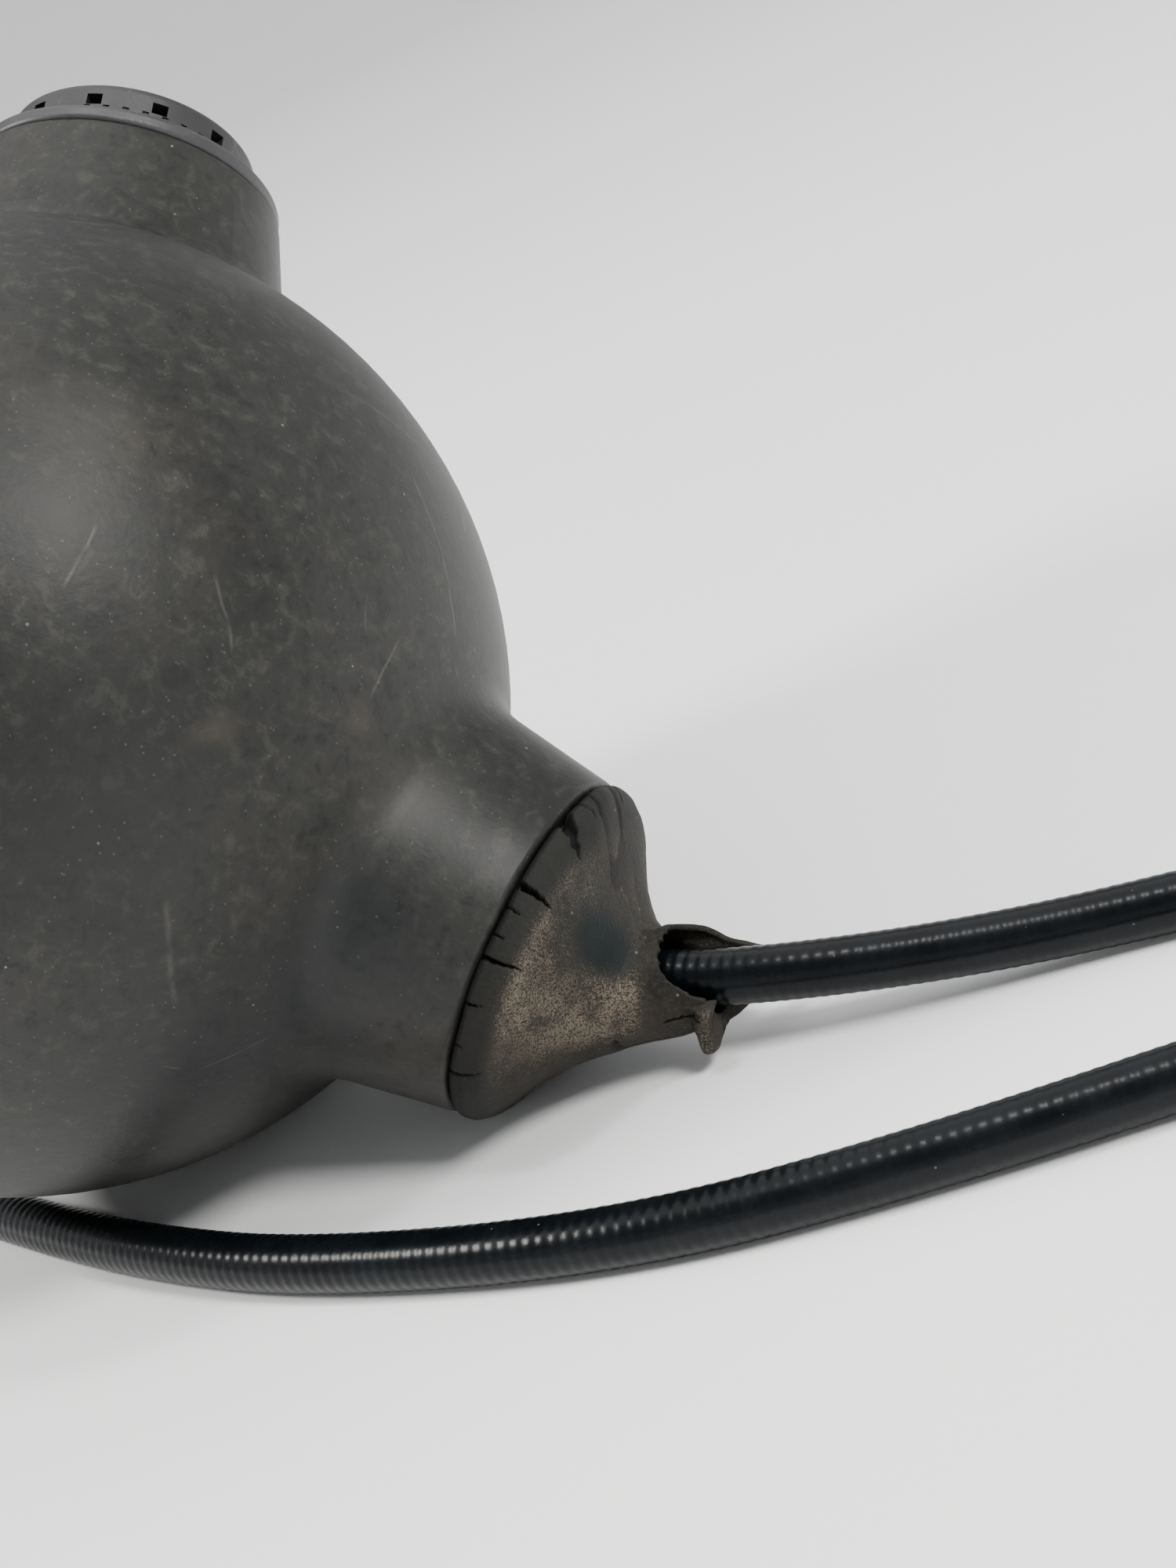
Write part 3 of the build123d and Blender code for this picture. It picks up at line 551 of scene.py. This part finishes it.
cracks = [  # angle at the edge, angle at the end, how far it runs, half width in degrees, depth
    (178.0, 171.0, 3.9, 4.4, 2.2), (150.5, 149.6, 4.3, 1.5, 2.1), (143.0, 142.5, 1.9, 0.55, 1.2),
    (134.0, 134.2, 1.7, 0.5, 1.1), (126.3, 127.6, 4.4, 0.95, 1.6), (111.0, 113.0, 2.5, 0.5, 1.2),
    (96.0, 97.0, 1.5, 0.4, 0.9), (84.5, 87.5, 3.6, 0.7, 1.5), (193.8, 192.0, 3.4, 0.75, 1.2),
    (214.0, 213.0, 3.0, 0.8, 1.4), (187.5, 188.5, 2.6, 0.6, 1.2), (236.0, 238.0, 2.2, 0.6, 1.1),
    (262.0, 261.0, 3.6, 0.9, 1.6), (291.0, 292.0, 2.0, 0.5, 1.1), (318.0, 317.0, 2.8, 0.7, 1.3),
    (52.0, 53.0, 1.8, 0.5, 1.1),
]
slits = [   # angle, from and to behind the lip, half width in degrees, depth
    (78.0, 17.6, 22.2, 1.9, 0.5), (62.0, 12.6, 13.0, 16.0, 0.5), (47.0, 13.0, 17.0, 1.6, 0.4),
]
folds = [   # height, angle, half width in degrees, place behind the lip, half length
    (0.55, 199, 8, 1.9, 2.3), (0.3, 199, 6, 6.4, 2.8), (-0.6, 207.5, 1.6, 3.2, 2.0),
    (1.0, 240, 14, 20, 3.2), (0.35, 186, 5, 4.2, 1.6), (-0.30, 192, 1.5, 3.2, 1.8),
]


def boot_spine(place):
    """Centre and way of the boot's ring at a place behind its lip: on the neck's axis at first, then
    blending by a soft step onto the hose's line."""
    share = smooth(2.5, 16.5, place)[..., None]
    tilt = smooth(8.0, 19.0, place)[..., None]
    on_axis = ball_centre + suction_way * (lip_start + place)[..., None]
    on_hose = hose_corner + hose_way * (place - corner_place)[..., None]
    way = unit(suction_way * (1 - tilt) + hose_way * tilt)
    return on_axis * (1 - share) + on_hose * share, way


def boot_ring(place, angle, radius):
    """Point of the boot: spine(place) + radius * (front * sin(angle) - up * cos(angle))."""
    centre, way = boot_spine(place)
    up = unit(np.cross(way, [0.0, 1.0, 0.0]))
    up = np.where(up[..., 2:] < 0, -up, up)
    front = np.cross(way, up)
    out = front * np.sin(angle)[..., None] - up * np.cos(angle)[..., None]
    return centre + radius[..., None] * out


def boot_shape():
    """Closed skin: rows run from the lip over the outside to the torn edge, back along the inside, and
    close at the lip. Radius follows the profile, less the cracks, plus the folds and the bead.
    Gives the points and the per-point numbers that the finish reads."""
    around, lip_rows, sleeve_rows, inside_rows = 720, 46, 44, 26
    neck_part, lip_crowding = 12.0, 1.25    # rows crowd towards the lip in this first part
    angle = np.linspace(0, 2 * math.pi, around, endpoint=False)[None, :]
    degrees = np.degrees(angle)

    def hump(angle_at, half_angle, place_at, half_place):
        """Bump on the outside at an angle in degrees and a place behind the lip."""
        return bell(degrees, angle_at, half_angle) * bell(place, place_at, half_place)

    # the torn edge, and the rows between it and the lip
    torn = np.interp(degrees, tear_angle, tear_place)
    open_here = band(degrees, (84, 92), (262, 272))
    torn = torn + 0.22 * ripple(angle, 5, 14, 20) * (0.4 + open_here)
    near = np.linspace(0, 1, lip_rows)[:, None] ** lip_crowding * neck_part
    far = neck_part + (torn - neck_part) * np.linspace(0, 1, sleeve_rows + 1)[1:, None]
    place = np.vstack([near + 0 * torn, far])
    edge_wander = 0.16 * ripple(angle, 3, 8, 4) * (1 - smooth(0, 4, place))
    radius = np.interp(place, profile_place, profile_radius)

    # cracks that start at the lip, and slits further back
    cracks_and_shade = np.zeros_like(place)
    cut = np.zeros_like(place)
    jag = 0.22 * ripple(place * 1.1 + 0 * angle, 8, 6, 1)
    for start, end, run, half, depth in cracks:
        share = np.clip(place / run, 0, 1)
        middle = start + (end - start) * share ** 1.5 + jag * half * 0.9
        width = half * (1 - share) ** 0.55 + 1e-4
        off = np.abs(degrees - middle) / width
        inside = (1 - smooth(0.55, 1.0, off)) * (place < run)
        cut = np.maximum(cut, inside * depth * (1 - share * 0.6))
        cracks_and_shade = np.maximum(cracks_and_shade, (1 - smooth(0.7, 1.15, off)) * (place < run))
    for middle, first, last, half, depth in slits:
        along = band(place, (first - 0.2, first + 0.2), (last - 0.2, last + 0.2))
        off = np.abs(degrees - middle + 6 * jag) / half
        slit = (1 - smooth(0.5, 1.0, off)) * along
        cut = np.maximum(cut, slit * depth)
        cracks_and_shade = np.maximum(cracks_and_shade, slit)

    # folds, slump and the bead round the edge
    fold = sum(height * hump(*where) for height, *where in folds)
    slump = band(place, (0.6, 7.0), (13, 18))
    slump = slump * (0.21 * bell(degrees, 203, 42) + 0.13 * bell(degrees, 25, 45))
    sag = 0.22 * ripple(angle + 0.05 * place, 12, 7, 2) * band(place, (4, 8), (14, 20))
    groove = 0.16 * bell(place, 4.7, 0.5)
    mouth = bell(place, torn - bead_len / 2, bead_len / 2, 4) * (1 - open_here)
    lumps = 0.8 + 0.35 * ripple(angle, 21, 8, 5) + 1.7 * bell(degrees, 40, 19)
    radius = radius * (1 - slump) + fold + sag - groove - cut + bead_proud * mouth * lumps
    outside = boot_ring(place + edge_wander, angle + 0 * place, radius)

    # the inside, from the torn edge back to just behind the lip, clear of the hose and the neck's rim
    inner_start, hose_room, rim_room = 0.45, 0.75, 20.0
    back = torn + (inner_start - torn) * np.linspace(0, 1, inside_rows)[:, None]
    wall = wall_sleeve + (wall_lip - wall_sleeve) * (1 - smooth(4, 14, back))
    wall = wall * (1 - 0.6 * open_here * (1 - smooth(0, 7, torn - back)))
    wall = wall * (1 + 0.35 * (1 - smooth(12, 17, back)))
    inner = np.interp(back, profile_place, profile_radius) - wall
    inner = inner + 0.8 * bell(degrees, 240, 14) * bell(back, 20, 3.2)
    inner = np.maximum(inner, hose_r + hose_room)
    inner = np.where(back < 4, np.minimum(inner, rim_room), inner)
    inner += 0.25 * mouth[-1:] * (1 - smooth(0, 1, torn - back))
    inside_skin = boot_ring(back, angle + 0 * back, inner)

    # nothing goes through the table: below low + ease, heights are eased towards low
    points = np.vstack([outside, inside_skin])
    low, ease = 0.12, 0.8
    height = points[..., 2]
    over = height - low - ease
    points[..., 2] = np.where(over < 0, low + ease * np.exp(np.minimum(over, 0) / ease), height)

    # where the rubber is perished, sound or part of the lip, and where shade is painted: in its cracks,
    # at the lip's edge and on its inside
    waist = band(place, (3.2, 5.0), (13.5, 17.5))
    belt = bell(place, 5.6, 1.9) * band(degrees, (95, 120), (160, 176))
    skirt = bell(degrees, 108 + 1.2 * (14 - place), 26) * band(place, (5, 9), (14, 17))
    perished = belt + skirt + waist * (0.35 * band(degrees, (60, 100), (168, 200)) + 0.25)
    perished = np.maximum(np.clip(perished, 0, 1), 0.75 * mouth)
    perished = np.maximum(perished, 0.8 * hump(199, 7, 6.5, 2.6))
    sound = np.clip(1.3 * hump(156, 22, 9.2, 4.0) + 0.5 * hump(148, 14, 13.0, 2.2), 0, 1)
    # painted shade: the lip's edge darkened like the shadow of the seam
    cracks_and_shade = np.maximum(cracks_and_shade, 1 - smooth(0.35, 0.85, place))
    blank = np.zeros_like(back)
    marks = {
        "perished": np.vstack([perished * (1 - 0.9 * sound), blank + 0.3]),
        "sound": np.vstack([sound, blank]),
        # painted shade: the inside darkens away from the torn edge
        "cracks_and_shade": np.vstack([cracks_and_shade, 0.7 * smooth(8, 16, torn - back)]),
        "lip": np.vstack([1 - smooth(3.6, 5.0, place), blank]),
    }
    return points, marks


boot_points, boot_marks = boot_shape()
boot = skin("boot", boot_points, finishes["boot_rubber"], True, boot_marks)
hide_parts("suction_boot")
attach(boot, "pump")

# ---- floor, lights and camera ----
def make_floor():
    """Round sheet, level in the middle, that sweeps up at its rim: out to flat_r + rise_r * sin(turn)
    and up to rise_h * (1 - cos(turn)), where turn runs to a quarter circle."""
    middle_r, flat_r, rise_r, rise_h = 0.4, 2.2, 0.9, 1.4
    rings, around = 40, 96
    turn = np.linspace(0, math.pi / 2, rings - 1)
    out = np.concatenate([[middle_r], flat_r + rise_r * np.sin(turn)])
    height = np.concatenate([[0.0], rise_h * (1 - np.cos(turn))])
    angle = np.linspace(0, 2 * math.pi, around, endpoint=False)
    rim = [out[:, None] * np.cos(angle), out[:, None] * np.sin(angle), height[:, None] + 0 * angle]
    spots = np.vstack([np.stack(rim, -1).reshape(-1, 3), [[0.0, 0.0, 0.0]]])
    near = np.arange(rings * around).reshape(rings, around)
    quads = np.stack([near[:-1], near[1:], np.roll(near[1:], -1, 1), np.roll(near[:-1], -1, 1)], -1)
    fan = np.stack([np.full(around, len(spots) - 1), near[0], np.roll(near[0], -1)], -1)
    mesh = bpy.data.meshes.new("floor")
    mesh.from_pydata(spots.tolist(), [], quads.reshape(-1, 4).tolist() + fan.tolist())
    floor = bpy.data.objects.new("floor", mesh)
    bpy.context.scene.collection.objects.link(floor)
    paper = Finish("pale paper", (0.9, 0.9, 0.9), 0.8, Specular_IOR_Level=0.2)
    mesh.materials.append(paper.material)
    mesh.polygons.foreach_set("use_smooth", np.ones(len(mesh.polygons), bool))


make_floor()

world = bpy.data.worlds.new("soft room")
bpy.context.scene.world = world
world.use_nodes = True
background = world.node_tree.nodes["Background"]
background.inputs["Color"].default_value = (0.96, 0.98, 1.0, 1)
background.inputs["Strength"].default_value = 0.38


def soft_light(name, place, aim, size, power, colour=(1, 1, 1)):
    """Round lamp at a place, turned towards a point, size across in metres, power in watts."""
    lamp = bpy.data.lights.new(name, "AREA")
    lamp.shape, lamp.size, lamp.energy, lamp.color = "DISK", size, power, colour
    holder = bpy.data.objects.new(name, lamp)
    bpy.context.scene.collection.objects.link(holder)
    way = unit(np.array(aim) - np.array(place))
    side = unit(np.cross(way, [0.0, 0.0, 1.0]))
    up = np.cross(side, way)
    turned = Matrix(np.column_stack([side, up, -way]).tolist()).to_4x4()
    holder.matrix_world = Matrix.Translation(place) @ turned


soft_light("left window", (-0.80, -0.55, 0.95), (0, 0, 0.05), 0.36, 16, (1.0, 0.99, 0.96))
soft_light("front window", (0.87, -0.12, 0.85), (0.03, -0.03, 0.07), 0.36, 14, (1.0, 0.99, 0.97))
soft_light("small lamp", (0.15, -0.10, 0.90), (0.10, -0.02, 0), 0.12, 2.2)
soft_light("back sheet", (0.70, 1.00, 0.55), (0, 0, 0.06), 0.7, 1.5, (0.96, 0.98, 1.0))

sun = bpy.data.lights.new("even sky", "SUN")
sun.energy, sun.angle = 1.9, math.radians(75)
sky = bpy.data.objects.new("even sky", sun)
bpy.context.scene.collection.objects.link(sky)
sky.rotation_euler = (math.radians(-14), math.radians(-8), 0)

camera_data = bpy.data.cameras.new("camera")
camera_data.lens, camera_data.sensor_width, camera_data.sensor_fit = 54.0, 36.0, "AUTO"
camera_data.clip_start = 0.01
camera = bpy.data.objects.new("camera", camera_data)
bpy.context.scene.collection.objects.link(camera)
bpy.context.scene.camera = camera
right, up = (0.7985, 0.4505, -0.3992), (0.1292, 0.5196, 0.8446)
forward = (-0.5879, 0.7260, -0.3567)
turned = Matrix((right, up, tuple(-c for c in forward))).transposed().to_4x4()
camera.matrix_world = Matrix.Translation((0.22776, -0.20517, 0.13702)) @ turned
